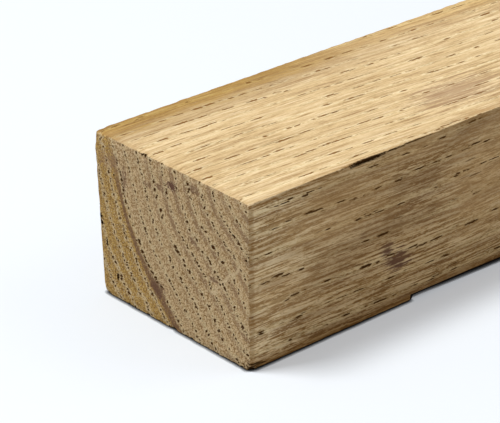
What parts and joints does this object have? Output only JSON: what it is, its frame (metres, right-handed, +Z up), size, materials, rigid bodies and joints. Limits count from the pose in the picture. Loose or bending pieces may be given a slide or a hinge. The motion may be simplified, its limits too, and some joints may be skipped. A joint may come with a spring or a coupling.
{
  "type": "rough sawn timber",
  "caption": "Straight rectangular length of rough sawn hardwood with square-cut ends and a splintered lower edge.",
  "frame": {"origin": "middle of the underside, halfway along the length", "axes": "+X along the grain, away from the splintered end; +Y across the width, away from the near side; +Z up"},
  "size_m": [0.3, 0.05, 0.038],
  "materials": {
    "sawn_hardwood": "rough sawn, untreated, matte, with open pores"
  },
  "bodies": {
    "root": {"sawn_timber": "sawn_hardwood"}
  },
  "joints": []
}
